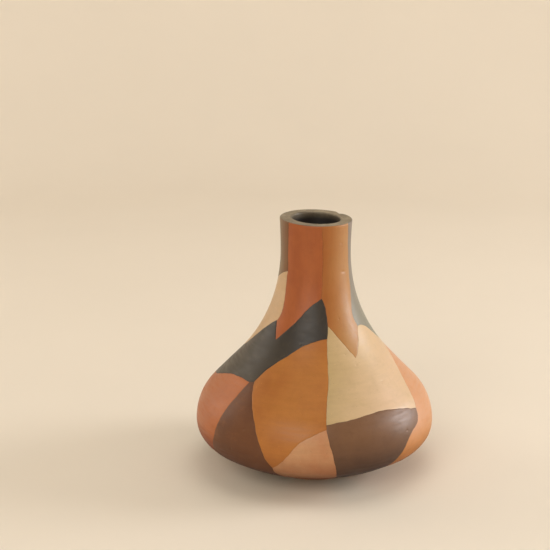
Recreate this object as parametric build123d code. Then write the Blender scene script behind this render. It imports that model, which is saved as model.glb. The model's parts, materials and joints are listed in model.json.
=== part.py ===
"""Burnished earthenware bottle vase, painted all over with a patchwork of coloured clay slips.

The pot is hand built: a base slab, a shallow bowl pressed in a mould, and flattened coils on top of
it up to the lip, each luted to the one below with a bevelled (scarfed) joint. The outside is then
covered with fields of coloured slip that meet edge to edge, and a dark slip coats the lip and the
throat. Fired, all of it is one rigid pot. Nothing moves.

Frame: millimetres, +Z up along the axis of the pot, origin at the centre of its resting face. The
front of the pattern faces -Y. A place on the wall is an azimuth, in degrees round from the front
towards +X, and a share, in percent of the way up the wall from the foot (0) to the lip (100).
"""

from build123d import *
import math
import os

# Driving dimensions, in millimetres.
vase_height = 160.0
foot_radius = 34.0
foot_height = 1.6
belly_radius = 75.0
belly_height = 30.0
mouth_radius = 14.8
clay_wall = 6.0
slip_coat = 0.5
neck_length = 22.0
keel_radius = 16.0
underside_radius = 120.0
lip_outer_round = 1.0
lip_inner_round = 1.2
foot_round = 0.7
scarf_length = 5.0
throat_coat = 36.0

# How far the lip leans out from upright, in degrees.
lip_lean = 3.5

# Shape of the S-curve from belly to neck: how much of the room between them its two arcs take (the
# rest is a straight cone), and the part of that which is the neck's hollow flare.
curve_fullness = 0.958
flare_part = 0.7356

# Heights, in shares of the wall, at which one piece of clay is luted to the next.
bowl_top = 22.0
belly_coil_top = 38.0
shoulder_coil_top = 54.0
flare_coil_top = 72.0
neck_coil_top = 92.0

# How finely a line of the slip pattern follows the curve of the wall: steps from one stop to the next.
steps_per_stop = 4

# Follows from the above.
clay_depth = slip_coat
hollow_depth = clay_depth + clay_wall
throat_depth = hollow_depth + slip_coat
neck_radius = mouth_radius + throat_depth
waist_height = vase_height - neck_length
lean = math.radians(lip_lean)
lip_edge_height = vase_height - lip_outer_round * (1 + math.sin(lean))


class Arc:
    """A stretch of the profile: an arc of a circle, swept from one angle to another, in radians.

    bulge is 1 where the surface bulges away from the centre and -1 where it curves round it. depth is
    measured into the pot from the finished surface.
    """

    def __init__(self, centre, radius, start, end, bulge=1):
        self.centre = centre
        self.radius = radius
        self.start = start
        self.end = end
        self.bulge = bulge
        self.length = radius * abs(end - start)

    def point(self, part, depth):
        angle = self.start + (self.end - self.start) * part
        reach = self.radius - self.bulge * depth
        return (self.centre[0] + reach * math.cos(angle), self.centre[1] + reach * math.sin(angle))

    def edge(self, low, high, depth):
        places = [self.point(part, depth) for part in (low, (low + high) / 2, high)]
        return ThreePointArc(*(upright(place) for place in places))


class Cone:
    """A stretch of the profile: a straight line that rises with its outer side on the right."""

    def __init__(self, start, end):
        self.start = start
        self.length = math.dist(start, end)
        self.along = ((end[0] - start[0]) / self.length, (end[1] - start[1]) / self.length)

    def point(self, part, depth):
        across, rise = self.along
        travel = part * self.length
        return (self.start[0] + across * travel - rise * depth,
                self.start[1] + rise * travel + across * depth)

    def edge(self, low, high, depth):
        return Line(upright(self.point(low, depth)), upright(self.point(high, depth)))


def upright(place):
    """A (radius, height) place as a point on the XZ plane."""
    return Vector(place[0], 0, place[1])


def straight_edges(*places):
    """Straight edges through (radius, height) places."""
    return [Line(upright(a), upright(b)) for a, b in zip(places, places[1:])]


def turned(edges):
    """A solid of revolution about the axis of the pot, from edges that close a section."""
    return revolve(make_face(edges), axis=Axis.Z, revolution_arc=360)


def lower_arcs():
    """The rounded keel of the belly and the flatter underside, which runs down to the foot."""
    centre = (belly_radius - keel_radius, belly_height)
    to_foot = (foot_radius - centre[0], foot_height - centre[1])
    reach = math.hypot(*to_foot)
    growth = underside_radius - keel_radius
    along = (underside_radius**2 - growth**2 - reach**2) / (2 * growth)
    turn = math.atan2(to_foot[1], to_foot[0]) + math.acos(along / reach)
    far_centre = (centre[0] - growth * math.cos(turn), centre[1] - growth * math.sin(turn))
    foot_turn = math.atan2(foot_height - far_centre[1], foot_radius - far_centre[0])
    return [Arc(far_centre, underside_radius, foot_turn, turn), Arc(centre, keel_radius, turn, 0)]


def upper_stretches():
    """Shoulder arc, straight cone and hollow flare from belly to waist, then the lip's slight curve."""
    rise = waist_height - belly_height
    widening = belly_radius - neck_radius
    both_arcs = curve_fullness * (rise**2 + widening**2) / (2 * widening)
    flare_radius = both_arcs * flare_part
    shoulder_radius = both_arcs - flare_radius
    sideways = both_arcs - widening
    slope = math.asin(both_arcs / math.hypot(rise, sideways)) - math.atan2(sideways, rise)
    shoulder = Arc((belly_radius - shoulder_radius, belly_height), shoulder_radius, 0, slope)
    flare_centre = (neck_radius + flare_radius, waist_height)
    flare = Arc(flare_centre, flare_radius, math.pi + slope, math.pi, -1)
    lip_curve = (lip_edge_height - waist_height) / math.sin(lean)
    lip = Arc((neck_radius + lip_curve, waist_height), lip_curve, math.pi, math.pi - lean, -1)
    return [shoulder, Cone(shoulder.point(1, 0), flare.point(0, 0)), flare, lip]


wall = lower_arcs() + upper_stretches()
wall_length = sum(stretch.length for stretch in wall)
waist_share = 100 * (1 - wall[-1].length / wall_length)
scarf_share = 100 * scarf_length / wall_length


def wall_point(share, depth):
    """(radius, height) of a place on the wall. Past either end it runs straight on."""
    travel = share / 100 * wall_length
    for stretch in wall:
        if travel <= stretch.length or stretch is wall[-1]:
            break
        travel -= stretch.length
    part = min(max(travel / stretch.length, 0), 1)
    place = stretch.point(part, depth)
    beyond = travel - part * stretch.length
    surface, inner = stretch.point(part, 0), stretch.point(part, 1)
    ahead = (surface[1] - inner[1], surface[0] - inner[0])
    return (place[0] - ahead[0] * beyond, place[1] + ahead[1] * beyond)


def wall_edges(low, high, depth):
    """Edges of the wall's section from one share up to another, at one depth."""
    edges = []
    passed = 0
    for stretch in wall:
        start = max((low / 100 * wall_length - passed) / stretch.length, 0)
        end = min((high / 100 * wall_length - passed) / stretch.length, 1)
        if end - start > 1e-6:
            edges.append(stretch.edge(start, end, depth))
        passed += stretch.length
    return edges


def inside_point(share, depth):
    """(radius, height) of a place on the inside. Above the waist the throat is a plain cylinder."""
    if share <= waist_share:
        return wall_point(share, depth)
    return (neck_radius - depth, wall_point(share, 0)[1])


def inside_edges(low, high, depth):
    """Edges of the section of the inside from one share up to another, at one depth."""
    edges = wall_edges(low, min(high, waist_share), depth)
    if high > waist_share:
        start = max(low, waist_share)
        edges += straight_edges(inside_point(start, depth), inside_point(high, depth))
    return edges


def scarf(share):
    """The bevelled joint face that starts outside at one share and climbs inwards."""
    return straight_edges(wall_point(share, clay_depth), inside_point(share + scarf_share, hollow_depth))


def base_slab():
    """The slab under the pot, with a low bare foot and a bevel that the bowl is luted to."""
    bevel = [wall_point(0, 0), wall_point(0, hollow_depth)]
    low_centre = (foot_radius - foot_round, foot_round)
    corner = Arc(low_centre, foot_round, -math.pi / 2, 0)
    edges = straight_edges(corner.point(1, 0), *bevel, (0, bevel[1][1]), (0, 0), corner.point(0, 0))
    return turned([corner.edge(0, 1, 0), *edges])


def bowl():
    """The shallow underside, pressed in a mould, from the base slab to the start of the keel."""
    foot_joint = straight_edges(wall_point(0, clay_depth), wall_point(0, hollow_depth))
    outside = wall_edges(0, bowl_top, clay_depth)
    inside = inside_edges(0, bowl_top + scarf_share, hollow_depth)
    return turned(foot_joint + outside + inside + scarf(bowl_top))


def course(low, high):
    """One band of the wall between two scarfed joints."""
    outside = wall_edges(low, high, clay_depth)
    inside = inside_edges(low + scarf_share, high + scarf_share, hollow_depth)
    return turned(scarf(low) + outside + inside + scarf(high))


lip_outer_arc = Arc(wall_point(100, lip_outer_round), lip_outer_round, -lean, math.pi / 2)
lip_inner_centre = (mouth_radius + lip_inner_round, vase_height - lip_inner_round)
lip_inner_arc = Arc(lip_inner_centre, lip_inner_round, math.pi / 2, math.pi)


def lip_edges(depth):
    """Outer round, flat top and inner round of the lip, at one depth."""
    flat = straight_edges(lip_outer_arc.point(1, depth), lip_inner_arc.point(0, depth))
    return [lip_outer_arc.edge(0, 1, depth), *flat, lip_inner_arc.edge(0, 1, depth)]


def lip_coil():
    """The last coil, flattened on top into the lip."""
    outside = wall_edges(neck_coil_top, 100, clay_depth)
    throat = straight_edges(
        inside_point(neck_coil_top + scarf_share, hollow_depth), lip_inner_arc.point(1, clay_depth))
    return turned(scarf(neck_coil_top) + outside + lip_edges(clay_depth) + throat)


def lip_and_throat_slip():
    """The dark slip over the lip and down the inside of the neck, as far as a brush reaches."""
    end = 100 - 100 * throat_coat / wall_length
    shut = straight_edges(inside_point(end, throat_depth), inside_point(end, hollow_depth))
    shut += straight_edges(wall_point(100, 0), wall_point(100, clay_depth))
    faces = lip_edges(0) + lip_edges(clay_depth)
    for depth, lip_depth in ((throat_depth, 0), (hollow_depth, clay_depth)):
        faces += inside_edges(end, waist_share, depth)
        faces += straight_edges(inside_point(waist_share, depth), lip_inner_arc.point(1, lip_depth))
    return turned(faces + shut)


# Corners of the slip pattern. Those at the lip and the foot lie a little past the ends of the wall.
corners = {
    "lip_1": (-47, 101), "lip_2": (9, 101), "lip_3": (61, 101),
    "lip_4": (128, 101), "lip_5": (186, 101), "lip_6": (242, 101),
    "foot_1": (-60, -1), "foot_2": (-20, -1), "foot_3": (15, -1), "foot_4": (34, -1),
    "foot_5": (104, -1), "foot_6": (152, -1), "foot_7": (210, -1), "foot_8": (250, -1),
    "neck_left": (-50, 84.9), "neck_far": (248, 79.5), "sand_front": (-52, 69.1),
    "rust_tip": (-43, 63.3), "band_peak": (9, 77.3), "band_right": (13, 65.2),
    "ochre_left": (15, 69), "ochre_tip": (37, 57.7), "ochre_right": (56, 67.1),
    "band_low_left": (-47, 48.1), "band_low": (-43, 48.6), "taupe_low": (-20, 22.5),
    "sienna_right": (6, 37.5), "sienna_low": (6, 36), "cream_low": (63, 36),
    "cream_end": (106, 57.5), "flank_top": (118, 56), "flank_back": (121, 44),
    "grey_back": (126, 72), "umber_tip": (150, 62.5), "neck_back": (180, 74),
    "gold_tip": (204, 61), "sand_back": (240, 69), "band_top": (250, 53), "band_end": (244, 44),
    "band_back": (256, 40.5), "stone_low": (214, 40), "stone_side": (200, 46),
    "brick_low": (166, 41), "fawn_right": (156, 18), "fawn_left": (206, 16),
}

# Lines between the fields, each from one corner to another by way of the places in between.
lines = [
    ("lip_1", (-51, 94), (-51, 89), "neck_left"),
    ("neck_left", (-61, 83.9), (-85, 81.5), "neck_far"),
    ("neck_left", (-50, 79.5), (-47, 73.5), "sand_front"),
    ("sand_front", "rust_tip"),
    ("rust_tip", (-28, 68.6), (-10, 73.9), "band_peak"),
    ("band_peak", (11, 87), "lip_2"),
    ("band_peak", (13, 75.3), (15, 72.4), "ochre_left"),
    ("ochre_left", (24, 65.4), (32, 61.3), "ochre_tip"),
    ("ochre_tip", (44, 60.9), (50, 64), "ochre_right"),
    ("ochre_right", (54, 71), (60, 76), (66, 83), (66, 89), "lip_3"),
    ("ochre_right", (73, 65.5), (99, 58.5), "cream_end"),
    ("cream_end", (92, 54), (78, 49), (69, 42.5), "cream_low"),
    ("cream_low", (49, 38.5), (41, 39.5), (27, 39), (13, 38), "sienna_right"),
    ("sienna_right", "sienna_low"),
    ("sienna_right", (8, 46.5), (10, 53), (11, 59.5), "band_right"),
    ("band_right", "ochre_left"),
    ("band_right", (0, 64.2), (-15, 61.8), (-28, 57.9), (-38, 53.5), "band_low"),
    ("band_low", "band_low_left"),
    ("sand_front", (-64, 66.5), (-80, 61.5), (-95, 56), "band_top"),
    ("band_low_left", (-58, 48.2), (-73, 46.8), (-87, 43.5), "band_back"),
    ("band_low", (-38, 43), (-32, 37.5), (-25, 28.5), "taupe_low"),
    ("band_low_left", (-51, 38.5), (-54, 30.5), (-57, 23.5), "foot_1"),
    ("sienna_low", (1, 34.5), (-7, 31.5), (-14, 26), "taupe_low"),
    ("taupe_low", "foot_2"),
    ("sienna_low", (8, 30), (12, 17.5), "foot_3"),
    ("cream_low", (60, 32.5), (53, 30), (45, 24), (41, 20), "foot_4"),
    ("cream_end", "flank_top"),
    ("flank_top", (124, 63), "grey_back"),
    ("grey_back", (131, 86), "lip_4"),
    ("flank_top", (123, 50), "flank_back"),
    ("flank_back", (112, 33), (107, 20), "foot_5"),
    ("grey_back", (136, 68), "umber_tip"),
    ("umber_tip", (165, 69), "neck_back"),
    ("neck_back", (189, 88), "lip_5"),
    ("neck_back", (193, 67), "gold_tip"),
    ("gold_tip", (222, 64), "sand_back"),
    ("sand_back", (242, 75), "neck_far"),
    ("neck_far", (247, 90), "lip_6"),
    ("sand_back", (247, 61), "band_top"),
    ("band_top", "band_end"),
    ("band_end", "band_back"),
    ("band_back", (260, 30), (256, 15), "foot_8"),
    ("band_end", (229, 39), "stone_low"),
    ("stone_low", "stone_side"),
    ("stone_side", (199, 53), "gold_tip"),
    ("stone_side", (184, 45), "brick_low"),
    ("brick_low", (143, 38), "flank_back"),
    ("brick_low", (160, 29), "fawn_right"),
    ("fawn_right", (181, 24), "fawn_left"),
    ("fawn_right", "foot_6"),
    ("fawn_left", "foot_7"),
    ("stone_low", (213, 28), "fawn_left"),
]

# Fields of slip, each with a place inside it.
fields = {
    "olive_neck_slip": (-80, 92),
    "sand_shoulder_slip": (-75, 74),
    "rust_neck_slip": (-20, 85),
    "ochre_neck_slip": (35, 80),
    "grey_shoulder_slip": (95, 80),
    "charcoal_band_slip": (-60, 57),
    "sienna_belly_slip": (-10, 48),
    "salmon_belly_slip": (-75, 32),
    "taupe_belly_slip": (-38, 25),
    "peach_belly_slip": (-4, 20),
    "brown_belly_slip": (30, 28),
    "cream_shoulder_slip": (35, 48),
    "orange_flank_slip": (80, 30),
    "umber_neck_slip": (155, 85),
    "gold_neck_slip": (215, 82),
    "brick_shoulder_slip": (160, 54),
    "stone_shoulder_slip": (225, 54),
    "chestnut_belly_slip": (185, 34),
    "honey_belly_slip": (135, 25),
    "slate_belly_slip": (232, 22),
    "fawn_belly_slip": (180, 8),
}


def slip_point(azimuth, share, depth):
    """A place on the wall as a point in space."""
    radius, height = wall_point(share, depth)
    turn = math.radians(azimuth)
    return Vector(radius * math.sin(turn), -radius * math.cos(turn), height)


def line_places(stops):
    """The named line as (azimuth, share) places, unrolled so that it never jumps a whole turn."""
    places = [corners[stop] if isinstance(stop, str) else stop for stop in stops]
    unrolled = [places[0]]
    for azimuth, share in places[1:]:
        turns = round((unrolled[-1][0] - azimuth) / 360)
        unrolled.append((azimuth + 360 * turns, share))
    return unrolled


def cutting_sheet(stops):
    """A thin sheet that stands on one line of the pattern and cuts right through the slip."""
    places = line_places(stops)
    drawn = Spline(*places) if len(places) > 2 else Line(*places)
    steps = steps_per_stop * (len(places) - 1)
    spots = [drawn.position_at(step / steps) for step in range(steps + 1)]
    rails = []
    for depth in (-slip_coat, 2 * slip_coat):
        rails.append(Edge.make_spline([slip_point(spot.X, spot.Y, depth) for spot in spots]))
    return Face.make_surface_from_curves(*rails)


def slip_fields():
    """The coat of slip, cut along every line of the pattern, as one solid for each field."""
    ends = straight_edges(wall_point(0, 0), wall_point(0, clay_depth))
    ends += straight_edges(wall_point(100, 0), wall_point(100, clay_depth))
    coat = turned(wall_edges(0, 100, 0) + wall_edges(0, 100, clay_depth) + ends)
    pieces = coat.split(Compound([cutting_sheet(stops) for stops in lines]), keep=Keep.ALL).solids()
    solids = {}
    for name, (azimuth, share) in fields.items():
        seed = slip_point(azimuth, share, slip_coat / 2)
        solids[name] = next(piece for piece in pieces if piece.is_inside(seed))
    return solids


def clay_pieces():
    """The pieces of clay the potter luted together, from the bottom up."""
    return {
        "base_slab": base_slab(),
        "lower_bowl": bowl(),
        "belly_coil": course(bowl_top, belly_coil_top),
        "shoulder_coil": course(belly_coil_top, shoulder_coil_top),
        "flare_coil": course(shoulder_coil_top, flare_coil_top),
        "neck_coil": course(flare_coil_top, neck_coil_top),
        "lip_coil": lip_coil(),
    }


parts = {**clay_pieces(), "lip_and_throat_slip": lip_and_throat_slip(), **slip_fields()}
os.makedirs("parts", exist_ok=True)
for name, solid in parts.items():
    export_step(solid, f"parts/{name}.step")
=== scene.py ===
"""The looks of the burnished, slip-painted bottle vase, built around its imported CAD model.

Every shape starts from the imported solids: the wall's profile, the outline of each field of slip and
the meshes of the clay pieces are read off the CAD nodes. What the potter's hands left is added here:
uneven surfaces, wavering lines, pits, and the lean and the nick of the lip. Shapes are worked out in
millimetres and written in metres. On the wall a place is (azimuth, travel): radians round from -Y
towards +X, and millimetres up along the wall from the foot.
"""

import json
import math

import bmesh
import bpy
import numpy as np
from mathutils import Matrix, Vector, noise
from mathutils.bvhtree import BVHTree
from mathutils.geometry import delaunay_2d_cdt

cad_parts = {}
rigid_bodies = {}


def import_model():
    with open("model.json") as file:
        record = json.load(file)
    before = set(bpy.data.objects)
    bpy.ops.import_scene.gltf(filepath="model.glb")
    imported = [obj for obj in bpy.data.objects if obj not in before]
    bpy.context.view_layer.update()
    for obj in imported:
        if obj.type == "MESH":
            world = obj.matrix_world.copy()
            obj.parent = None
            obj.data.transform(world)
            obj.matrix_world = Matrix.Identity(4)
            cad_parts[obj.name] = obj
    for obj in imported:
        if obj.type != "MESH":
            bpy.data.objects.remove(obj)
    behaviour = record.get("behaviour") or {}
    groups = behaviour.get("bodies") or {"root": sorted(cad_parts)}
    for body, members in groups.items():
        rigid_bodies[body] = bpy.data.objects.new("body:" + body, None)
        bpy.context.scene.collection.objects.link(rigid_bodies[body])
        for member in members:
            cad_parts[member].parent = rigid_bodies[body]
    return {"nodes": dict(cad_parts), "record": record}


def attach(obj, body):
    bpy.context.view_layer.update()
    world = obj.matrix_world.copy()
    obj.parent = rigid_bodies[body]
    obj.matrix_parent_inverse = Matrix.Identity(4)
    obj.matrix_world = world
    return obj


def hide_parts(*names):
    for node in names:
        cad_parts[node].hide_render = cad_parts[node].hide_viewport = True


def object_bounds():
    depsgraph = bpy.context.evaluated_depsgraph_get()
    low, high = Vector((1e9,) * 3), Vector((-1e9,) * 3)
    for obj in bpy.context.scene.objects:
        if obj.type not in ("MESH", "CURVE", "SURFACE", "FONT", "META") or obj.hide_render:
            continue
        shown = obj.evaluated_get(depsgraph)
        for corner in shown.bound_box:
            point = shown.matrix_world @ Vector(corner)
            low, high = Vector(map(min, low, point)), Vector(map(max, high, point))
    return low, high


for leftover in list(bpy.data.objects):
    bpy.data.objects.remove(leftover)
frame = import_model()
cad_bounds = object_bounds()

METRES = 0.001
# Lengths in mm, here and below: the coat of slip, and the spacing of the visual meshes' points over a
# field, along its outline, in rows just inside the outline, and between the outline and the rest.
SKIN = 0.5
MESH_STEP = 1.25
EDGE_STEP = 0.7
RING_DEPTHS = (0.16, 0.36, 0.7)
GRID_MARGIN = 1.2
LIP_NODE = "lip_and_throat_slip"
CLAY_NODES = [
    "base_slab", "lower_bowl", "belly_coil", "shoulder_coil", "flare_coil", "neck_coil", "lip_coil"]
SKIN_NODES = sorted(n for n in frame["nodes"] if n not in CLAY_NODES and n != LIP_NODE)


# Reading the CAD ------------------------------------------------------------------------------------

def cad_mesh(node):
    """Welded vertices (mm) and triangles of a CAD node."""
    mesh = frame["nodes"][node].data
    mesh.calc_loop_triangles()
    spots = np.empty(len(mesh.vertices) * 3)
    mesh.vertices.foreach_get("co", spots)
    corners = np.empty(len(mesh.loop_triangles) * 3, np.int32)
    mesh.loop_triangles.foreach_get("vertices", corners)
    spots, back = np.unique(np.round(spots.reshape(-1, 3) / METRES, 4), axis=0, return_inverse=True)
    return spots, back.ravel()[corners].reshape(-1, 3)


skin_meshes = {node: cad_mesh(node) for node in SKIN_NODES}


# How far out rays at the wall start: from the core of the belly, and beside the belly for level ones.
FAR_OUT = 120
BESIDE = 40


def rough_profile():
    """(radius, height) of the finished wall from foot to lip, by rays from outside."""
    spots, faces, count = [], [], 0
    for points, triangles in skin_meshes.values():
        spots.append(points)
        faces.append(triangles + count)
        count += len(points)
    tree = BVHTree.FromPolygons(np.vstack(spots).tolist(), np.vstack(faces).tolist())
    every = np.vstack(spots)
    radii = np.hypot(every[:, 0], every[:, 1])
    foot = every[:, 2].argmin()
    lip = np.where(every[:, 2] > every[:, 2].max() - 0.4, radii, 0).argmax()
    belly = radii.max()
    core_r, core_z = belly * 0.6, every[radii.argmax()][2]
    found = [(radii[foot], every[foot][2])]
    # Several azimuths, since a ray can slip through where two fields meet.
    azimuths = np.radians(np.arange(4, 360, 15))

    def outermost(start, direction):
        """(radius, height) of the nearest hit of a ray given in the (radius, height) plane, or None."""
        hits = []
        for azimuth in azimuths:
            across = Vector((math.sin(azimuth), -math.cos(azimuth), 0))
            origin = across * start[0] + Vector((0, 0, start[1]))
            ray = across * direction[0] + Vector((0, 0, direction[1]))
            hit = tree.ray_cast(origin, ray)
            if hit[0] is not None:
                hits.append((hit[3], hit[0]))
        if not hits:
            return None
        nearest = min(hits, key=lambda item: item[0])[1]
        return (math.hypot(nearest.x, nearest.y), nearest.z)

    # A fan of rays from below the foot to above the shoulder, and level rays from there up the neck.
    for angle in np.radians(np.arange(-108, 55, 0.75)):
        ahead_r, ahead_z = math.cos(angle), math.sin(angle)
        start = (core_r + FAR_OUT * ahead_r, core_z + FAR_OUT * ahead_z)
        place = outermost(start, (-ahead_r, -ahead_z))
        if place and place[1] > found[-1][1] + 0.02:
            found.append(place)
    for height in np.arange(found[-1][1] + 0.5, every[lip][2] - 0.2, 0.75):
        place = outermost((belly + BESIDE, height), (-1, 0))
        if place:
            found.append(place)
    found.append((radii[lip], every[lip][2]))
    return np.array(found)


profile = rough_profile()
profile_run = np.r_[0, np.cumsum(np.hypot(*np.diff(profile, axis=0).T))]


def skin_depth(spots):
    """How deep each point lies under the finished wall, in mm, to a few hundredths."""
    radii = np.hypot(spots[:, 0], spots[:, 1])
    heights = spots[:, 2]
    outer = np.interp(heights, profile[:, 1], profile[:, 0])
    rise = np.gradient(profile[:, 1], profile_run)
    return (outer - radii) * np.interp(heights, profile[:, 1], rise)


# How far apart the knots of the profile lie, and how near the rough profile they are looked for.
KNOT_STEP = 1.6
NEAR_WALL = 0.12


def exact_profile():
    """The profile again, at CAD vertices about KNOT_STEP apart, which lie exactly on the surface."""
    every = np.vstack([points for points, _ in skin_meshes.values()])
    every = every[np.abs(skin_depth(every)) < NEAR_WALL]
    heights = every[:, 2]
    run = np.interp(heights, profile[:, 1], profile_run)
    order = np.argsort(run)
    every, run = every[order], run[order]
    wanted = np.linspace(0, profile_run[-1], int(profile_run[-1] / KNOT_STEP))
    picks = np.unique(np.clip(np.searchsorted(run, wanted), 0, len(run) - 1))
    knots = np.c_[np.hypot(every[picks, 0], every[picks, 1]), every[picks, 2]]
    ends = profile[[0, -1]]
    knots = knots[(knots[:, 1] > ends[0][1] + 0.3) & (knots[:, 1] < ends[1][1] - 0.6)]
    knots = np.vstack([ends[:1], knots, ends[1:]])
    keep = np.r_[True, np.hypot(*np.diff(knots, axis=0).T) > 0.6]
    return knots[keep]


knots = exact_profile()
knot_run = np.r_[0, np.cumsum(np.hypot(*np.diff(knots, axis=0).T))]
WALL = knot_run[-1]


def knot_slopes():
    """Tangents of a cubic through the knots."""
    spans = np.diff(knot_run)
    slopes = np.diff(knots, axis=0) / spans[:, None]
    inner = (slopes[:-1] * spans[1:, None] + slopes[1:] * spans[:-1, None]) / (
        spans[1:] + spans[:-1])[:, None]
    return np.vstack([slopes[:1], inner, slopes[-1:]])


slopes = knot_slopes()

lip_spots = cad_mesh(LIP_NODE)[0]
lip_radii = np.hypot(lip_spots[:, 0], lip_spots[:, 1])
LIP_TOP = lip_spots[:, 2].max()
LIP_RADIUS = lip_radii.max()
MOUTH_RADIUS = lip_radii.min()
# The wall ends leaning out a little, where the outer round of the lip starts.
end_slope = slopes[-1] / np.hypot(*slopes[-1])
LEAN_AT_LIP = math.asin(end_slope[0])
OUTER_ROUND = (LIP_TOP - knots[-1][1]) / (1 + math.sin(LEAN_AT_LIP))


def wall(travel):
    """(radius, height, outward radius part, outward height part) at places up the wall.

    Travel may go on past the end of the wall, over the outer round of the lip.
    """
    over = np.clip(np.asarray(travel, float) - WALL, 0, None) / OUTER_ROUND
    travel = np.clip(np.asarray(travel, float), 0, WALL)
    k = np.clip(np.searchsorted(knot_run, travel) - 1, 0, len(knot_run) - 2)
    span = knot_run[k + 1] - knot_run[k]
    t = (travel - knot_run[k]) / span
    a, b = knots[k], knots[k + 1]
    m, n = slopes[k] * span[:, None], slopes[k + 1] * span[:, None]
    t = t[:, None]
    place = (
        (2 * t**3 - 3 * t**2 + 1) * a + (t**3 - 2 * t**2 + t) * m
        + (3 * t**2 - 2 * t**3) * b + (t**3 - t**2) * n)
    ahead = (
        (6 * t**2 - 6 * t) * a + (3 * t**2 - 4 * t + 1) * m
        + (6 * t - 6 * t**2) * b + (3 * t**2 - 2 * t) * n)
    ahead /= np.hypot(ahead[:, 0], ahead[:, 1])[:, None]
    turned = over - LEAN_AT_LIP
    out_r, out_z = np.cos(turned), np.sin(turned)
    centre = knots[-1] - OUTER_ROUND * np.array([math.cos(LEAN_AT_LIP), -math.sin(LEAN_AT_LIP)])
    past = over > 0
    radius = np.where(past, centre[0] + OUTER_ROUND * out_r, place[:, 0])
    height = np.where(past, centre[1] + OUTER_ROUND * out_z, place[:, 1])
    return radius, height, np.where(past, out_r, ahead[:, 1]), np.where(past, out_z, -ahead[:, 0])


# How far the painted fields lap over the outer round of the lip, in mm.
LIP_LAP = 1.1 * OUTER_ROUND
fine_travel = np.linspace(0, WALL + LIP_LAP, 4000)
fine_radius, fine_height, _, _ = wall(fine_travel)
FOOT_TOP = fine_height[0]
FOOT_RADIUS = fine_radius[0]
# Travel at equal scale in both directions at every height, so that triangles stay even.
fine_even = np.r_[0, np.cumsum(np.diff(fine_travel) / ((fine_radius[1:] + fine_radius[:-1]) / 2))]


# Hand work ------------------------------------------------------------------------------------------

# How deep the worked surface always lies under the CAD one, and on average away from the foot.
BURIED = 0.045
RUBBED_OFF = 0.22
# Radius from which the wall is as uneven as on the belly. The neck, under it, is truer.
STOUT = 48
# The lean of the top of the neck to the right, which starts at a height WAIST_LOW.
WAIST_LOW = 0.35 * LIP_TOP
NECK_LEAN = 0.3
# How much lower the lip is in front and at the back than on the left, and how far down that reaches.
# On the right it is twice as much.
LIP_DIP = 0.75
DIP_REACH = 26
# The nick in the lip: where round the pot (degrees), how deep, and how it fades (degrees, mm).
NICK_AT = 139
NICK_DEPTH = 0.9
NICK_EDGE = 7
NICK_TAIL = 12
NICK_REACH = 8


def wave(spot, size, seed):
    """Smooth noise from -1 to 1 whose lumps are about size mm across."""
    return noise.noise(Vector((spot[0] / size + seed, spot[1] / size - seed, spot[2] / size + 2 * seed)))


def hand_depth(spot, up):
    """How far the finished surface sinks under the CAD one at a place, in mm: never proud of it.

    Up is the travel from the foot, over which the unevenness grows to its full size.
    """
    slender = min(1, math.hypot(spot[0], spot[1]) / STOUT)
    ease = min(1, up / 12) * slender
    # Slow swells of the wall, and the flats that the burnishing stone leaves.
    slow = 0.24 * wave(spot, 34, 3.1) + 0.1 * wave(spot, 15, 7.7)
    strokes = wave((spot[0], spot[1], spot[2] * 2.2), 6, 12.4)
    return BURIED + max(0.0, RUBBED_OFF + slow) * ease + 0.02 * strokes * ease


def wobble(spot):
    """How far the hand-drawn lines between the fields stray: (round the pot, up the wall), in mm."""
    around = 0.36 * wave(spot, 7, 21.3) + 0.20 * wave(spot, 2.6, 23.9)
    rising = 0.42 * wave(spot, 7, 31.7) + 0.26 * wave(spot, 3.1, 35.2)
    return around, rising


def settled(spots):
    """Points of the pot (mm) as hand building left it: the neck leans a hair, and the lip dips.

    The lip is highest on the left, falls towards the right, and has a nick at the back right, which
    is cut in from behind and fades towards the front.
    """
    x, y, z = spots.T
    azimuth = np.degrees(np.arctan2(x, -y))
    up_neck = np.clip((z - WAIST_LOW) / (LIP_TOP - WAIST_LOW), 0, 1)
    near_lip = np.clip((z - LIP_TOP + DIP_REACH) / DIP_REACH, 0, 1)**2
    outer_half = np.clip((np.hypot(x, y) - LIP_RADIUS + 4) / 3, 0, 1)
    behind = np.clip((NICK_AT + NICK_EDGE - azimuth) / NICK_EDGE, 0, 1)
    ahead = np.exp(-np.clip(NICK_AT - azimuth, 0, None) / NICK_TAIL)
    nick = behind * ahead * outer_half * np.clip((z - LIP_TOP + NICK_REACH) / NICK_REACH, 0, 1)
    dip = LIP_DIP * (1 + np.sin(np.radians(azimuth)))
    return np.c_[x + NECK_LEAN * up_neck, y, z - dip * near_lip - NICK_DEPTH * nick]


def spots_on_wall(azimuths, travels, depths):
    """Points (mm) at places on the wall, at depths under the CAD surface."""
    radius, height, out_r, out_z = wall(travels)
    sin, cos = np.sin(azimuths), np.cos(azimuths)
    reach = radius - out_r * depths
    return np.c_[reach * sin, -reach * cos, height - out_z * depths]


# Mesh building --------------------------------------------------------------------------------------

def build(name, spots, faces, nodes, material, edge=None, sharp=40):
    """A visual piece from points in mm, riding on the pot in place of CAD nodes."""
    mesh = bpy.data.meshes.new(name)
    mesh.from_pydata((settled(np.asarray(spots)) * METRES).tolist(), [], faces)
    mesh.validate()
    if edge is not None:
        near = mesh.attributes.new("line_mm", "FLOAT", "POINT")
        near.data.foreach_set("value", np.asarray(edge, np.float32))
    mesh.shade_smooth()
    mesh.set_sharp_from_angle(angle=math.radians(sharp))
    mesh.materials.append(material)
    piece = bpy.data.objects.new(name, mesh)
    bpy.context.scene.collection.objects.link(piece)
    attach(piece, "root")
    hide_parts(*nodes)
    return piece


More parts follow.
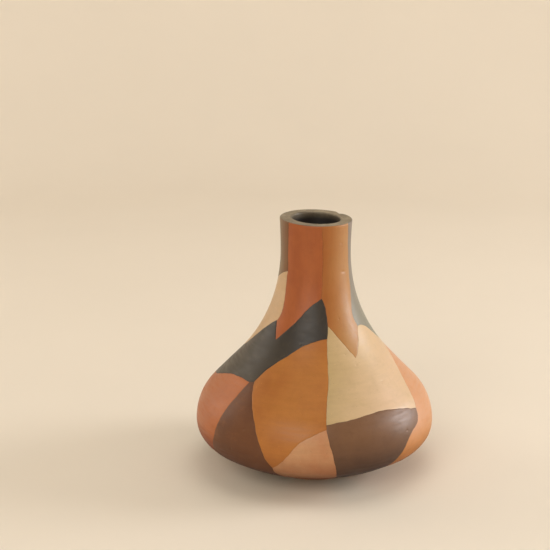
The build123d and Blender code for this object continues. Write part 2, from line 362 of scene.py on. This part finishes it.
def outline(node):
    """The closed outline of a field of slip on the finished wall, as (azimuth, travel), anticlockwise."""
    spots, triangles = skin_meshes[node]
    outer = skin_depth(spots) < SKIN / 2
    follow = {}
    used = set()
    for a, b, c in triangles[outer[triangles].all(axis=1)].tolist():
        used.update(((a, b), (b, c), (c, a)))
    for a, b in used:
        if (b, a) not in used:
            follow[a] = b
    loop = [next(iter(sorted(follow)))]
    while follow[loop[-1]] != loop[0]:
        loop.append(follow[loop[-1]])
    places = spots[loop]
    azimuths = np.unwrap(np.arctan2(places[:, 0], -places[:, 1]))
    travels = np.interp(places[:, 2], fine_height, fine_travel)
    travels[travels > WALL - 0.05] = WALL + LIP_LAP
    return np.c_[azimuths, travels]


def spaced(loop):
    """The outline with points no more than EDGE_STEP apart, and none on top of each other."""
    around = np.vstack([loop, loop[:1]])
    out = []
    for a, b in zip(around, around[1:]):
        radius = np.interp((a[1] + b[1]) / 2, fine_travel, fine_radius)
        length = math.hypot((b[0] - a[0]) * radius, b[1] - a[1])
        if length < 0.04:
            continue
        pieces = max(1, math.ceil(length / EDGE_STEP))
        out += [a + (b - a) * k / pieces for k in range(pieces)]
    return np.array(out)


def line_distance(places, loop):
    """Distance in mm from each place to the outline."""
    found = np.full(len(places), 1e9)
    starts, ends = loop, np.roll(loop, -1, axis=0)
    for low in range(0, len(places), 400):
        some = places[low:low + 400]
        radius = np.interp(some[:, 1], fine_travel, fine_radius)[:, None]
        ax = (starts[None, :, 0] - some[:, None, 0]) * radius
        ay = starts[None, :, 1] - some[:, None, 1]
        bx = (ends[None, :, 0] - some[:, None, 0]) * radius
        by = ends[None, :, 1] - some[:, None, 1]
        dx, dy = bx - ax, by - ay
        t = np.clip(-(ax * dx + ay * dy) / np.maximum(dx * dx + dy * dy, 1e-12), 0, 1)
        found[low:low + 400] = np.sqrt(((ax + t * dx)**2 + (ay + t * dy)**2).min(axis=1))
    return found


def within(places, loop):
    """Which places lie inside the outline."""
    inside = np.zeros(len(places), bool)
    for (ax, ay), (bx, by) in zip(loop, np.roll(loop, -1, axis=0)):
        if ay == by:
            continue
        crosses = (ay > places[:, 1]) != (by > places[:, 1])
        inside ^= crosses & (places[:, 0] < (bx - ax) * (places[:, 1] - ay) / (by - ay) + ax)
    return inside


def inset_places(loop, depth):
    """Places a set distance inside the outline, left out near corners."""
    ahead = np.roll(loop, -1, axis=0) - np.roll(loop, 1, axis=0)
    radius = np.interp(loop[:, 1], fine_travel, fine_radius)
    across = np.c_[ahead[:, 0] * radius, ahead[:, 1]]
    across /= np.hypot(across[:, 0], across[:, 1])[:, None]
    places = loop + np.c_[-across[:, 1] / radius, across[:, 0]] * depth
    places = places[within(places, loop)]
    return places[line_distance(places, loop) > 0.93 * depth]


def grid_places(loop, step, margin):
    """A staggered grid of places inside the outline."""
    rows = []
    low, high = loop[:, 1].min(), loop[:, 1].max()
    for k, travel in enumerate(np.arange(low + step / 2, high, step * 0.87)):
        turn = step / np.interp(travel, fine_travel, fine_radius)
        azimuths = np.arange(loop[:, 0].min() + turn * (0.5 if k % 2 else 0), loop[:, 0].max(), turn)
        rows.append(np.c_[azimuths, np.full(len(azimuths), travel)])
    places = np.vstack(rows)
    places = places[within(places, loop)]
    return places[line_distance(places, loop) > margin]


def filled(loop, extra):
    """Triangles over the outline and the extra places. Returns the places used and the triangles."""
    places = np.vstack([loop, extra]) if len(extra) else loop
    even = np.c_[places[:, 0], np.interp(places[:, 1], fine_travel, fine_even)]
    points = [Vector(p) for p in (even - even[0]).tolist()]
    face = [list(range(len(loop)))]
    _, _, faces, origins, _, _ = delaunay_2d_cdt(points, [], face, 1, 1e-7)
    index = [origin[0] for origin in origins]
    return places, [[index[v] for v in f] for f in faces]


def strayed(places):
    """Places moved as the hand-drawn lines stray, except across the foot and the lip."""
    spots = spots_on_wall(places[:, 0], places[:, 1], 0)
    stray = np.array([wobble(spot) for spot in spots.tolist()])
    ease = np.clip(np.minimum(places[:, 1], WALL - places[:, 1]) / 1.5, 0, 1)
    radius = np.interp(places[:, 1], fine_travel, fine_radius)
    return places + np.c_[stray[:, 0] / radius, stray[:, 1] * ease]


def finished_spots(places, extra_depth):
    """Points of the finished, hand-worked wall."""
    level = spots_on_wall(places[:, 0], places[:, 1], 0)
    sunk = np.array([hand_depth(s, up) for s, up in zip(level.tolist(), places[:, 1].tolist())])
    return spots_on_wall(places[:, 0], places[:, 1], sunk + extra_depth)


def pit_ring(pit, count, reach):
    """Extra places round a pit, so that the mesh can follow it."""
    azimuth, travel, size, _, wide = pit
    radius = np.interp(travel, fine_travel, fine_radius)
    turns = np.arange(count) * 2 * math.pi / count
    return np.c_[
        azimuth + reach * size * wide * np.cos(turns) / radius, travel + reach * size * np.sin(turns)]


# The extra places round a pit: how many in each ring, and its reach in sizes of the pit.
PIT_RINGS = ((1, 0), (6, 0.5), (10, 1.0), (12, 1.6))
# The rounded edge of a field: how deep it goes down into the line round it, and over what width.
LINE_DEPTH = 0.08
LINE_WIDTH = 0.25
# The mesh spacing and margin on the unseen side of a field, against the clay.
BACK_STEP = 5
BACK_MARGIN = 3


def skin(node, material, low, pits=()):
    """One field of slip: a thin closed skin, low mm lower than others, with its edges rounded down."""
    loop = spaced(outline(node))
    rings = [inset_places(loop, depth) for depth in RING_DEPTHS]
    pit_places = [pit_ring(pit, k, reach) for pit in pits for k, reach in PIT_RINGS]
    extra = np.vstack(rings + [grid_places(loop, MESH_STEP, GRID_MARGIN)] + pit_places)
    places, faces = filled(loop, extra)
    away = np.r_[np.zeros(len(loop)), line_distance(places[len(loop):], loop)]
    sink = low + LINE_DEPTH * np.exp(-(away / LINE_WIDTH)**2)
    for azimuth, travel, size, depth, wide in pits:
        radius = np.interp(travel, fine_travel, fine_radius)
        gap = np.hypot((places[:, 0] - azimuth) * radius / wide, places[:, 1] - travel)
        sink = sink + depth * np.exp(-(gap / size)**2)
    moved = strayed(places)
    front = finished_spots(moved, sink)
    back_places, back_faces = filled(loop, grid_places(loop, BACK_STEP, BACK_MARGIN))
    back = finished_spots(strayed(back_places), SKIN)
    count, start = len(loop), len(front)
    spots = np.vstack([front, back])
    sides = [[k, start + k, start + (k + 1) % count, (k + 1) % count] for k in range(count)]
    under = [[start + v for v in reversed(f)] for f in back_faces]
    edge = np.r_[away, np.zeros(len(back))]
    name = node.replace("_slip", "_field")
    return build(name, spots, faces + sides + under, [node], material, edge)


def cut_fine(node, longest):
    """A bmesh copy of a CAD node, in mm, with no edge much longer than asked."""
    spots, triangles = cad_mesh(node)
    mesh = bmesh.new()
    corners = [mesh.verts.new(spot) for spot in spots.tolist()]
    for triangle in triangles.tolist():
        mesh.faces.new([corners[v] for v in triangle])
    for _ in range(6):
        long_edges = [e for e in mesh.edges if e.calc_length() > longest]
        if not long_edges:
            break
        bmesh.ops.subdivide_edges(mesh, edges=long_edges, cuts=1, use_grid_fill=False)
        bmesh.ops.triangulate(mesh, faces=[f for f in mesh.faces if len(f.verts) > 3])
    mesh.verts.index_update()
    return mesh


def piece_from(mesh, name, node, material, sharp=40):
    """A visual piece from a bmesh in mm."""
    spots = [v.co[:] for v in mesh.verts]
    faces = [[v.index for v in f.verts] for f in mesh.faces]
    mesh.free()
    return build(name, spots, faces, [node], material, sharp=sharp)


# The clay: its longest edge, how far it sinks under the slip on the lip and on the wall, how far the
# middle of the foot is hollowed, and the depths of the ridges and the finger marks inside.
CLAY_EDGE = 3.2
UNDER_LIP_SLIP = 0.45
UNDER_SLIP = 0.04
FOOT_HOLLOW = 0.10
RIDGES = 0.35
FINGER_MARKS = 0.5
# Depths under the finished wall up to which a point of the clay is outside, and from which it is inside.
OUTSIDE = 1.2
INSIDE = 4.5


def clay_piece(node, material):
    """A coil, bowl or slab: worked as the slip is outside, finger-marked inside."""
    mesh = cut_fine(node, CLAY_EDGE)
    for vertex in mesh.verts:
        x, y, z = vertex.co
        radius = math.hypot(x, y)
        depth = float(skin_depth(np.array([[x, y, z]]))[0])
        if z > LIP_TOP - 1.2:
            vertex.co.z -= UNDER_LIP_SLIP
        if z < FOOT_TOP + 0.01:
            if z < 0.01:
                rub = 0.5 + 0.5 * wave((x, y, z), 5, 4.4)
                vertex.co.z = FOOT_HOLLOW * rub * min(1, max(0, FOOT_RADIUS - 2 - radius) / 6)
        elif depth < OUTSIDE and radius > 1:
            travel = float(np.interp(z, fine_height, fine_travel))
            sunk = hand_depth((x, y, z), travel)
            _, _, out_r, out_z = (v[0] for v in wall([travel]))
            vertex.co -= Vector((x / radius * out_r, y / radius * out_r, out_z)) * (sunk + UNDER_SLIP)
        elif depth > INSIDE and radius > 1:
            ridge = 0.5 + 0.5 * math.sin(z / 1.7 + 1.2 * wave((x, y, z), 22, 9.1))
            finger = 0.5 + 0.5 * wave((x, y, z), 9, 17.3)
            push = RIDGES * ridge + FINGER_MARKS * finger
            vertex.co += Vector((x / radius, y / radius, 0)) * push
    return piece_from(mesh, node + "_clay", node, material)


# The slip on the lip: its longest edge, the round of the lip, how far down from the top the slip still
# has two sides, how far its top is pressed in, and how far it sinks where the painted fields lap it.
LIP_EDGE = 1.1
LIP_ROUND = 1.1
LIP_BAND = 6
LIP_PRESSED = 0.10
UNDER_FIELDS = 0.16


def lip_piece(material):
    """The slip on the lip and down the throat, with the unevenness of a lip pressed flat by hand."""
    mesh = cut_fine(LIP_NODE, LIP_EDGE)
    middle, half_flat = (LIP_RADIUS + MOUTH_RADIUS) / 2, (LIP_RADIUS - MOUTH_RADIUS) / 2 - LIP_ROUND
    for vertex in mesh.verts:
        x, y, z = vertex.co
        radius = math.hypot(x, y)
        side = 1 if radius > middle else -1
        out_r = side * max(0.0, abs(radius - middle) - half_flat)
        out_z = max(0.0, z - LIP_TOP + LIP_ROUND)
        if z < LIP_TOP - LIP_BAND:
            out_r, out_z = side, 0
        size = math.hypot(out_r, out_z) or 1
        place = (x, y, z)
        sunk = hand_depth(place, WALL)
        sunk += (LIP_PRESSED + LIP_PRESSED * wave(place, 9, 41.0)) * out_z / size
        if side > 0 and out_r > 0.5 * size:
            sunk += UNDER_FIELDS
        vertex.co -= Vector((x / radius * out_r, y / radius * out_r, out_z)) / size * sunk
    return piece_from(mesh, "lip_and_throat_coat", LIP_NODE, material, sharp=60)


# Materials ------------------------------------------------------------------------------------------

def linear(colour):
    """An sRGB colour, 0 to 255, as linear light."""
    parts = [c / 255 for c in colour]
    return [c / 12.92 if c <= 0.04045 else ((c + 0.055) / 1.055)**2.4 for c in parts] + [1]


class Nodes:
    """Adds nodes to a material, with short calls. Every pattern runs in the piece's own coordinates."""

    def __init__(self, name):
        self.material = bpy.data.materials.new(name)
        self.material.use_nodes = True
        self.tree = self.material.node_tree
        self.tree.nodes.clear()
        self.place = self.add("ShaderNodeTexCoord").outputs["Object"]

    def add(self, kind, **settings):
        node = self.tree.nodes.new(kind)
        for key, value in settings.items():
            setattr(node, key, value)
        return node

    def link(self, source, target):
        self.tree.links.new(source, target)

    def stretched(self, scale, turn=(0, 0, 0)):
        node = self.add("ShaderNodeMapping")
        node.inputs["Scale"].default_value = scale
        node.inputs["Rotation"].default_value = turn
        self.link(self.place, node.inputs["Vector"])
        return node.outputs["Vector"]

    def height(self):
        node = self.add("ShaderNodeSeparateXYZ")
        self.link(self.place, node.inputs[0])
        return node.outputs["Z"]

    def noise(self, size_mm, detail=3, rough=0.55, vector=None, distortion=0):
        """Noise in lumps about size_mm across, or, with a vector, in lumps one unit of it across."""
        node = self.add("ShaderNodeTexNoise")
        self.link(vector or self.place, node.inputs["Vector"])
        node.inputs["Scale"].default_value = 1 / (size_mm * METRES) if vector is None else 1
        node.inputs["Detail"].default_value = detail
        node.inputs["Roughness"].default_value = rough
        node.inputs["Distortion"].default_value = distortion
        return node.outputs["Fac"]

    def spread(self, source, low, high, to_low=0, to_high=1):
        """The source with low to high mapped to to_low to to_high, and held there beyond."""
        node = self.add("ShaderNodeMapRange")
        self.link(source, node.inputs["Value"])
        for key, value in (("From Min", low), ("From Max", high), ("To Min", to_low), ("To Max", to_high)):
            node.inputs[key].default_value = value
        return node.outputs["Result"]

    def math(self, operation, a, b):
        node = self.add("ShaderNodeMath", operation=operation)
        for socket, value in zip(node.inputs, (a, b)):
            if isinstance(value, (int, float)):
                socket.default_value = value
            else:
                self.link(value, socket)
        return node.outputs["Value"]

    def mix(self, factor, a, b):
        """A mix of two colours, each an sRGB triple or a socket."""
        node = self.add("ShaderNodeMix", data_type="RGBA")
        self.link(factor, node.inputs["Factor"])
        for key, value in (("A", a), ("B", b)):
            socket = [s for s in node.inputs if s.name == key and s.type == "RGBA"][0]
            if isinstance(value, tuple):
                socket.default_value = linear(value)
            else:
                self.link(value, socket)
        return [s for s in node.outputs if s.type == "RGBA"][0]

    def surface(self, colour, roughness, bumps, specular):
        """The finished material. Each bump is (height, strength, distance in mm)."""
        shader = self.add("ShaderNodeBsdfPrincipled")
        self.link(colour, shader.inputs["Base Color"])
        self.link(roughness, shader.inputs["Roughness"])
        shader.inputs["Specular IOR Level"].default_value = specular
        normal = None
        for height, strength, distance_mm in bumps:
            bump = self.add("ShaderNodeBump")
            bump.inputs["Strength"].default_value = strength
            bump.inputs["Distance"].default_value = distance_mm * METRES
            self.link(height, bump.inputs["Height"])
            if normal is not None:
                self.link(normal, bump.inputs["Normal"])
            normal = bump.outputs["Normal"]
        if normal is not None:
            self.link(normal, shader.inputs["Normal"])
        self.link(shader.outputs["BSDF"], self.add("ShaderNodeOutputMaterial").inputs["Surface"])
        return self.material


def shade(colour, by):
    """A colour made lighter or darker."""
    return tuple(min(255, c * by) for c in colour)


# Painted shade near the foot: what it leaves of red, green and blue, the height (m) it reaches, and where
# it is full.
FOOT_SHADE_LEAVES = (0.54, 0.40, 0.29)
FOOT_SHADE_TOP = 0.033
FOOT_SHADE_FULL = 0.010


def foot_shaded(colour):
    """A colour as it is painted near the foot: darker and redder, as painted shade under the belly."""
    return tuple(c * left for c, left in zip(colour, FOOT_SHADE_LEAVES))


# The rubbing marks per metre along X, Y and Z: long strokes round the pot, or long ones up the neck.
ROUND_STROKES = (1 / 0.013, 1 / 0.013, 1 / 0.0016)
UP_STROKES = (1 / 0.0016, 1 / 0.0016, 1 / 0.02)
# How far from a painted line, in mm, its darkening starts, and where it is full.
LINE_FADE = 0.26
LINE_FULL = 0.02
# The specular level of burnished slip.
SHEEN = 0.42


def burnished_slip(name, main, other, lean=None, strokes=ROUND_STROKES, line=0.62, rough=0.41, smudges=0.0):
    """Clay slip rubbed to a soft sheen with a stone.

    main drifts into other in clouds, or mostly along a direction, over a range in mm, if lean gives
    them. line is how dark the line round the field is.
    """
    n = Nodes(name)
    # Broad clouds of the two colours.
    clouds = n.spread(n.noise(26, 4, 0.6, distortion=0.4), 0.36, 0.66)
    if lean:
        (low, high), direction = lean
        along = n.add("ShaderNodeVectorMath", operation="DOT_PRODUCT")
        n.link(n.place, along.inputs[0])
        along.inputs[1].default_value = direction
        drift = n.spread(along.outputs["Value"], low * METRES, high * METRES)
        clouds = n.math("ADD", n.math("MULTIPLY", drift, 0.8), n.math("MULTIPLY", clouds, 0.2))
    colour = n.mix(clouds, main, other)
    # Lighter and darker rubbing marks, a fine grain, and darker patches.
    rubbed = n.noise(1, 2, 0.5, vector=n.stretched(strokes, (0.05, 0.04, 0)))
    colour = n.mix(n.spread(rubbed, 0.42, 0.72, 0, 0.06), colour, shade(main, 1.2))
    colour = n.mix(n.spread(rubbed, 0.56, 0.3, 0, 0.07), colour, shade(main, 0.76))
    grain = n.noise(0.55, 3, 0.7)
    colour = n.mix(n.spread(grain, 0.35, 0.75, 0, 0.13), colour, shade(other, 0.74))
    patches = n.noise(5.5, 3, 0.6)
    colour = n.mix(n.spread(patches, 0.52, 0.74, 0, 0.14), colour, shade(main, 0.82))
    # Pale smudges, dark specks, and pale grits of the clay.
    if smudges:
        smeared = n.spread(n.noise(7, 4, 0.65, distortion=1.2), 0.58, 0.74, 0, smudges)
        colour = n.mix(smeared, colour, shade(main, 1.9))
    specks = n.spread(n.noise(0.9, 1, 0.5), 0.735, 0.79, 0, 0.3)
    colour = n.mix(specks, colour, shade(main, 0.5))
    pale = n.noise(1, 1, 0.5, vector=n.stretched((769, 769, 769), (0.7, 0.2, 0.4)))
    colour = n.mix(n.spread(pale, 0.74, 0.80, 0, 0.2), colour, shade(main, 1.35))
    # The line round the field, broken here and there, and painted shade near the foot.
    near = n.add("ShaderNodeAttribute", attribute_name="line_mm").outputs["Fac"]
    beside = n.spread(near, LINE_FADE, LINE_FULL, 0, 0.5)
    drawn = n.math("MULTIPLY", beside, n.spread(patches, 0.3, 0.6, 0.3, 1.0))
    colour = n.mix(drawn, colour, shade(main, line))
    # Painted shade: every field darker and redder towards the foot, under the belly.
    rising = n.spread(n.height(), FOOT_SHADE_TOP, FOOT_SHADE_FULL)
    foot_shade = n.math("MULTIPLY", rising, n.spread(patches, 0.3, 0.7, 0.8, 1.0))
    colour = n.mix(foot_shade, colour, foot_shaded(main))
    # The stone has polished the rubbed marks, and the foot is rougher where its shade is painted.
    rubbed_rough = n.spread(rubbed, 0.3, 0.7, rough - 0.07, rough + 0.09)
    roughness = n.math("ADD", rubbed_rough, n.math("MULTIPLY", foot_shade, 0.34))
    bumps = ((rubbed, 0.25, 0.06), (grain, 0.22, 0.03), (patches, 0.2, 0.08))
    return n.surface(colour, roughness, bumps, SHEEN)


def bare_clay():
    """Fired clay left bare: gritty, matt and finger-marked."""
    n = Nodes("bare_fired_clay")
    # Clouds, pale grit, dark specks, and the marks of wiping round the pot.
    clouds = n.spread(n.noise(18, 4, 0.6), 0.35, 0.68)
    colour = n.mix(clouds, (172, 112, 74), (146, 92, 62))
    grit = n.noise(0.7, 3, 0.75)
    colour = n.mix(n.spread(grit, 0.5, 0.75, 0, 0.45), colour, (196, 146, 106))
    dark = n.spread(n.noise(1.1, 1, 0.5), 0.66, 0.74, 0, 0.6)
    colour = n.mix(dark, colour, (92, 60, 44))
    marks = n.noise(1, 2, 0.5, vector=n.stretched((60, 60, 420)))
    colour = n.mix(n.spread(marks, 0.5, 0.75, 0, 0.25), colour, (122, 80, 56))
    rough = n.spread(grit, 0.3, 0.7, 0.78, 0.95)
    return n.surface(colour, rough, ((grit, 0.5, 0.12), (marks, 0.3, 0.15)), 0.3)


# Where painted shade darkens the lip's slip: from the edge of the mouth inwards (m outside its radius), and
# from just under the top of the lip down the throat (heights, m).
MOUTH_EDGE = (0.0014, 0.0002)
THROAT_FADE = (0.1590, 0.1548)


def lip_slip():
    """Grey-brown slip on the lip, with painted shade down the throat."""
    n = Nodes("lip_slip_burnished")
    flat = n.add("ShaderNodeVectorMath", operation="MULTIPLY")
    n.link(n.place, flat.inputs[0])
    flat.inputs[1].default_value = (1, 1, 0)
    span = n.add("ShaderNodeVectorMath", operation="LENGTH")
    n.link(flat.outputs["Vector"], span.inputs[0])
    # Clouds, rubbing marks, stains and grain of the lip, then painted shade down the throat over them.
    clouds = n.spread(n.noise(9, 4, 0.6), 0.35, 0.68)
    colour = n.mix(clouds, (146, 131, 105), (110, 96, 76))
    rubbed = n.noise(1, 2, 0.5, vector=n.stretched((180, 180, 500)))
    colour = n.mix(n.spread(rubbed, 0.5, 0.75, 0, 0.3), colour, (152, 140, 114))
    stained = n.spread(n.noise(3.2, 4, 0.65, distortion=0.8), 0.52, 0.68, 0, 0.5)
    colour = n.mix(stained, colour, (76, 64, 48))
    grain = n.noise(0.5, 3, 0.7)
    colour = n.mix(n.spread(grain, 0.5, 0.8, 0, 0.3), colour, (70, 60, 50))
    throat = MOUTH_RADIUS * METRES
    # Painted shade down the throat: darker inwards from the mouth's edge and downwards from just under the
    # top.
    inward = n.spread(span.outputs["Value"], throat + MOUTH_EDGE[0], throat + MOUTH_EDGE[1])
    wavy = n.math("ADD", inward, n.spread(clouds, 0, 1, -0.12, 0.12))
    deep = n.spread(n.height(), THROAT_FADE[0], THROAT_FADE[1], 0.35, 1)
    throat_shade = n.math("MULTIPLY", n.spread(wavy, 0.1, 0.8), deep)
    colour = n.mix(throat_shade, colour, n.mix(clouds, (46, 41, 38), (40, 34, 31)))
    rough = n.spread(rubbed, 0.3, 0.7, 0.4, 0.56)
    return n.surface(colour, rough, ((grain, 0.25, 0.05), (rubbed, 0.25, 0.08)), SHEEN)


# The pot --------------------------------------------------------------------------------------------

# Directions in which a field's colour can drift.
RIGHT = (1, 0, 0)
UP = (0, 0, 1)

# Each field: its two colours, and any drift, strokes or other settings of its own.
FIELDS = {
    "olive_neck_slip": (
        (127, 108, 80), (118, 75, 41),
        {"strokes": UP_STROKES, "lean": ((-22, -18), RIGHT)}),
    "sand_shoulder_slip": ((205, 173, 135), (190, 156, 116), {}),
    "rust_neck_slip": ((172, 95, 44), (154, 80, 38), {"strokes": UP_STROKES}),
    # Ochre: lighter and tanner to the right, painted light from the right side.
    "ochre_neck_slip": ((159, 90, 34), (173, 127, 72), {"strokes": UP_STROKES, "lean": ((6, 20), RIGHT)}),
    "grey_shoulder_slip": (
        (130, 128, 112), (124, 112, 104),
        {"strokes": UP_STROKES, "lean": ((92, 132), UP)}),
    "charcoal_band_slip": (
        (67, 58, 44), (50, 45, 40),
        {"smudges": 0.12, "line": 0.5, "lean": ((62, 92), UP)}),
    "sienna_belly_slip": ((180, 115, 47), (166, 100, 39), {}),
    # Salmon: darker and redder low down, painted shade with a painted warm reflection under the belly.
    "salmon_belly_slip": ((134, 58, 16), (178, 104, 55), {"lean": ((22, 34), UP)}),
    "taupe_belly_slip": ((109, 66, 35), (94, 54, 27), {"smudges": 0.08}),
    "peach_belly_slip": ((196, 149, 108), (188, 128, 87), {}),
    # Brown: near black low down, lighter higher up, painted shade under the belly.
    "brown_belly_slip": (
        (60, 31, 16), (122, 87, 60),
        {"smudges": 0.08, "lean": ((15, 43), UP), "rough": 0.39}),
    # Cream: paler and pinker to the right, partly painted light from the right side, partly the slip's own
    # drift.
    "cream_shoulder_slip": ((186, 160, 112), (211, 179, 146), {"lean": ((8, 46), RIGHT)}),
    # Orange: deep golden orange low down, paler salmon above, painted warm light reflected from below.
    "orange_flank_slip": ((190, 120, 34), (203, 150, 114), {"lean": ((24, 40), UP)}),
    "umber_neck_slip": ((106, 80, 58), (88, 64, 46), {"strokes": UP_STROKES}),
    "gold_neck_slip": ((190, 136, 74), (172, 116, 58), {"strokes": UP_STROKES}),
    "brick_shoulder_slip": ((164, 94, 62), (144, 78, 50), {}),
    "stone_shoulder_slip": ((180, 168, 140), (164, 150, 120), {}),
    "chestnut_belly_slip": ((122, 76, 50), (102, 60, 40), {}),
    "honey_belly_slip": ((196, 146, 92), (180, 126, 74), {}),
    "slate_belly_slip": ((92, 86, 78), (78, 72, 64), {"smudges": 0.15}),
    "fawn_belly_slip": ((174, 138, 102), (158, 120, 84), {}),
}

# Small pits and dents: (degrees round, travel up the wall, size, depth, how many times as wide).
PITS = {
    "ochre_neck_slip": [(49, 168, 0.7, 0.30, 2.6), (46, 186, 0.5, 0.2, 2.0), (30, 140, 0.4, 0.15, 1)],
    "rust_neck_slip": [(-8, 184, 0.5, 0.14, 2.4), (-22, 160, 0.4, 0.12, 1)],
    "taupe_belly_slip": [(-42, 52, 0.6, 0.24, 1), (-36, 66, 0.5, 0.2, 1)],
    "cream_shoulder_slip": [(50, 96, 0.5, 0.22, 1.8), (35, 110, 0.5, 0.2, 1.5), (28, 118, 0.4, 0.18, 1)],
    "brown_belly_slip": [(50, 62, 0.6, 0.25, 1)],
    "charcoal_band_slip": [(-14, 125, 0.5, 0.2, 1.4), (-30, 112, 0.4, 0.18, 1)],
    "sienna_belly_slip": [(-8, 84, 0.5, 0.18, 1), (-20, 60, 0.4, 0.14, 1.6)],
    "stone_shoulder_slip": [(222, 104, 0.7, 0.25, 1.5)],
    "orange_flank_slip": [(92, 58, 0.6, 0.22, 1), (108, 84, 0.5, 0.2, 2)],
    "honey_belly_slip": [(134, 44, 0.6, 0.2, 1)],
    "umber_neck_slip": [(152, 158, 0.6, 0.2, 2)],
}

# Neighbouring fields differ in height by a few steps of this, in mm.
FIELD_STEP = 0.02

slots = {part["node"]: part["material_slot"] for part in frame["record"]["subparts"]}
for number, (node, (main, other, extra)) in enumerate(FIELDS.items()):
    material = burnished_slip(slots[node] + "_burnished", main, other, **extra)
    pits = [(math.radians(azimuth), *rest) for azimuth, *rest in PITS.get(node, ())]
    skin(node, material, FIELD_STEP * (number * 7 % 5), pits)

clay = bare_clay()
for node in CLAY_NODES:
    clay_piece(node, clay)
lip_piece(lip_slip())


# Stage ----------------------------------------------------------------------------------------------

def floor():
    """A plain pale round floor that sweeps up into a wall all round."""
    # The radius of the flat part, the radius of the bend, the wall's height, and the middle's place on Y.
    flat, bend, high, back = 1.1, 0.45, 1.25, -0.35
    section = [(flat + bend * math.sin(a), bend - bend * math.cos(a)) for a in np.radians(range(0, 91, 6))]
    section.append((flat + bend, high))
    turns = np.radians(range(0, 360, 4))
    spots = [(0, back, 0)]
    spots += [(r * math.sin(a), back - r * math.cos(a), z) for r, z in section for a in turns]
    count = len(turns)
    faces = [(0, 1 + k, 1 + (k + 1) % count) for k in range(count)]
    for low in range(1, 1 + count * (len(section) - 1), count):
        for k in range(count):
            after = (k + 1) % count
            faces.append((low + k, low + count + k, low + count + after, low + after))
    mesh = bpy.data.meshes.new("studio_floor")
    mesh.from_pydata(spots, [], faces)
    mesh.shade_smooth()
    n = Nodes("pale_floor")
    colour = n.mix(n.spread(n.noise(160, 3), 0.3, 0.7), (237, 226, 209), (235, 224, 207))
    fine = n.noise(3, 3)
    rough = n.spread(fine, 0.3, 0.7, 0.6, 0.72)
    mesh.materials.append(n.surface(colour, rough, ((fine, 0.05, 0.05),), 0.3))
    piece = bpy.data.objects.new("studio_floor", mesh)
    bpy.context.scene.collection.objects.link(piece)


def lamp(name, place, aim, size, watts, colour):
    """A soft box that the camera doesn't see."""
    light = bpy.data.lights.new(name, "AREA")
    light.shape = "RECTANGLE"
    light.size, light.size_y = size
    light.energy = watts
    light.color = colour
    holder = bpy.data.objects.new(name, light)
    holder.visible_camera = False
    holder.location = place
    holder.rotation_euler = (Vector(aim) - Vector(place)).to_track_quat("-Z", "Y").to_euler()
    bpy.context.scene.collection.objects.link(holder)


floor()
# The lamps: name, place (m), what they point at, size (m), power (W) and colour.
low, high = cad_bounds
centre = (0, 0, 0.5 * (low[2] + high[2]))
lamp("window_softbox", (1.3, 0.2, 0.42), centre, (0.6, 0.64), 14, (0.96, 0.97, 1.0))
lamp("front_softbox", (-0.4, -1.15, 0.75), centre, (0.9, 0.8), 6.2, (1.0, 0.97, 0.92))
lamp("left_softbox", (-0.95, 0.35, 0.45), centre, (0.6, 0.7), 2, (1.0, 0.95, 0.88))
lamp("top_softbox", (0.1, 0.1, 1.2), centre, (0.8, 0.8), 3, (1.0, 0.97, 0.92))

world = bpy.data.worlds.new("studio_air")
world.use_nodes = True
background = world.node_tree.nodes["Background"]
background.inputs["Color"].default_value = (0.95, 0.9, 0.82, 1)
background.inputs["Strength"].default_value = 0.34
bpy.context.scene.world = world
bpy.context.scene.view_settings.view_transform = "Standard"

# The camera stands where the photographer stood: a little above the lip, looking down and slightly to
# the left of the pot, which stands right of the middle of the frame.
# Its distance is from the middle of the lip, in metres.
DISTANCE = 0.957
RAISED = math.radians(13.7)
TILT = math.radians(90 - 15.87)
TURN = math.radians(1.534)
camera = bpy.data.cameras.new("camera")
camera.lens = 102.1
camera.sensor_width = 36
camera.clip_start = 0.05
eye = bpy.data.objects.new("camera", camera)
eye.location = (0, -DISTANCE * math.cos(RAISED), high[2] + DISTANCE * math.sin(RAISED))
eye.rotation_euler = (TILT, 0, TURN)
bpy.context.scene.collection.objects.link(eye)
bpy.context.scene.camera = eye
